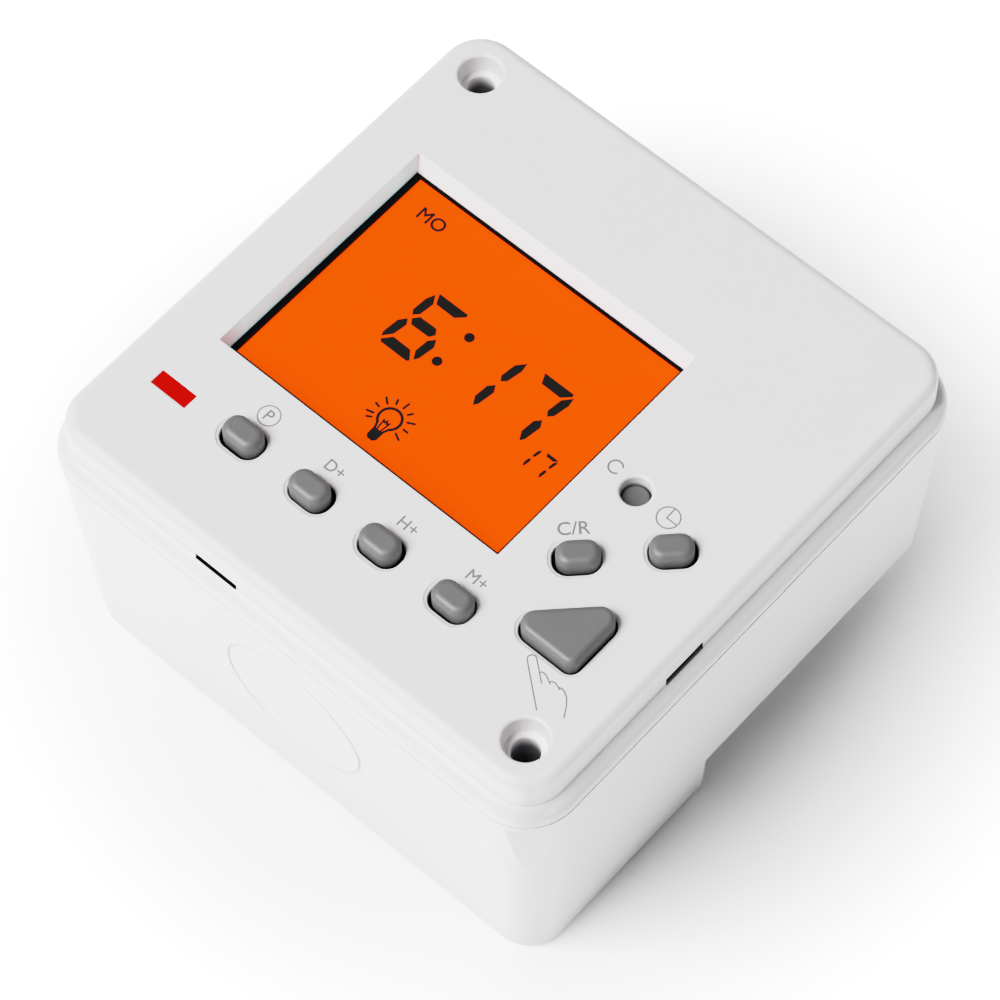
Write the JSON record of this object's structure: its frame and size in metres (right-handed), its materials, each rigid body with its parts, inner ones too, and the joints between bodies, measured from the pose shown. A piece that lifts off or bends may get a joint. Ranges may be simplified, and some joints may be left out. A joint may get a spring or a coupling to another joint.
{
  "type": "digital timer switch",
  "caption": "Square mains timer switch in a white case: recessed orange display, grey push keys, corner screw holes, and screw terminals behind.",
  "frame": {"origin": "centre of the square outline, on the plane of the back face", "axes": "+Z out of the face towards the user, +X the reading direction of the display, +Y the top of the display"},
  "size_m": [0.06, 0.06, 0.0365],
  "materials": {
    "cover_white": "satin moulded, white",
    "base_white": "satin moulded, white",
    "key_grey": "satin moulded, mid grey",
    "window_red": "gloss, red translucent",
    "frame_black": "matt black",
    "display_orange": "smooth film, lit orange from behind",
    "display_glass": "clear glass",
    "rear_film": "smooth film",
    "light_guide": "clear to milky acrylic",
    "led_chip": "small moulded chips",
    "elastomer": "soft silicone",
    "board_green": "solder mask over glass laminate",
    "screw_steel": "zinc plated",
    "switch_black": "matt black",
    "dome_steel": "thin spring steel",
    "plunger_ivory": "satin moulded",
    "led_red": "clear red resin",
    "chip_black": "matt epoxy",
    "can_steel": "drawn metal can",
    "contact_gold": "plated",
    "relay_blue": "satin moulded",
    "capacitor_yellow": "moulded box",
    "sleeve_black": "shrink sleeve",
    "varistor_blue": "dipped epoxy",
    "fuse_ceramic": "smooth",
    "diode_black": "matt epoxy",
    "resistor_beige": "lacquered",
    "terminal_plastic": "satin moulded",
    "terminal_brass": "plated brass"
  },
  "bodies": {
    "housing": {"front_cover": "cover_white", "base_box": "base_white", "indicator_window": "window_red", "lcd_frame": "frame_black", "front_polariser": "display_orange", "lcd_front_glass": "display_glass", "lcd_rear_glass": "display_glass", "rear_polariser": "rear_film", "light_guide": "light_guide", "backlight_leds": "led_chip", "elastomer_connector": "elastomer", "control_board": "board_green", "control_board_screws": "screw_steel", "tact_switch_bodies": "switch_black", "snap_domes": "dome_steel", "indicator_led": "led_red", "microcontroller": "chip_black", "quartz_crystal": "can_steel", "backup_cell": "can_steel", "cell_tabs": "dome_steel", "header_strip": "switch_black", "header_pins": "contact_gold", "power_board": "board_green", "power_board_screws": "screw_steel", "relay": "relay_blue", "suppression_capacitor": "capacitor_yellow", "electrolytic_capacitor": "sleeve_black", "varistor": "varistor_blue", "fuse": "fuse_ceramic", "rectifier_diodes": "diode_black", "dropper_resistors": "resistor_beige", "terminal_block": "terminal_plastic", "terminal_plates": "terminal_brass", "terminal_clamps": "screw_steel", "terminal_screws": "screw_steel"},
    "program_key": {"key_program": "key_grey", "plunger_program": "plunger_ivory"},
    "day_key": {"key_day": "key_grey", "plunger_day": "plunger_ivory"},
    "hour_key": {"key_hour": "key_grey", "plunger_hour": "plunger_ivory"},
    "minute_key": {"key_minute": "key_grey", "plunger_minute": "plunger_ivory"},
    "recall_key": {"key_recall": "key_grey", "plunger_recall": "plunger_ivory"},
    "clock_key": {"key_clock": "key_grey", "plunger_clock": "plunger_ivory"},
    "manual_key": {"key_manual": "key_grey", "plunger_manual": "plunger_ivory"},
    "clear_key": {"key_clear": "key_grey", "plunger_clear": "plunger_ivory"}
  },
  "joints": [
    {"name": "press_program", "type": "slide", "parent": "housing", "child": "program_key", "axis": [0, 0, -1], "range_m": [0, 0.0005], "stiffness_N_per_m": 2500, "springref_m": -0.0003},
    {"name": "press_day", "type": "slide", "parent": "housing", "child": "day_key", "axis": [0, 0, -1], "range_m": [0, 0.0005], "stiffness_N_per_m": 2500, "springref_m": -0.0003},
    {"name": "press_hour", "type": "slide", "parent": "housing", "child": "hour_key", "axis": [0, 0, -1], "range_m": [0, 0.0005], "stiffness_N_per_m": 2500, "springref_m": -0.0003},
    {"name": "press_minute", "type": "slide", "parent": "housing", "child": "minute_key", "axis": [0, 0, -1], "range_m": [0, 0.0005], "stiffness_N_per_m": 2500, "springref_m": -0.0003},
    {"name": "press_recall", "type": "slide", "parent": "housing", "child": "recall_key", "axis": [0, 0, -1], "range_m": [0, 0.0005], "stiffness_N_per_m": 2500, "springref_m": -0.0003},
    {"name": "press_clock", "type": "slide", "parent": "housing", "child": "clock_key", "axis": [0, 0, -1], "range_m": [0, 0.0005], "stiffness_N_per_m": 2500, "springref_m": -0.0003},
    {"name": "press_manual", "type": "slide", "parent": "housing", "child": "manual_key", "axis": [0, 0, -1], "range_m": [0, 0.0005], "stiffness_N_per_m": 2500, "springref_m": -0.0003},
    {"name": "press_clear", "type": "slide", "parent": "housing", "child": "clear_key", "axis": [0, 0, -1], "range_m": [0, 0.0005], "stiffness_N_per_m": 2500, "springref_m": -0.0003}
  ]
}
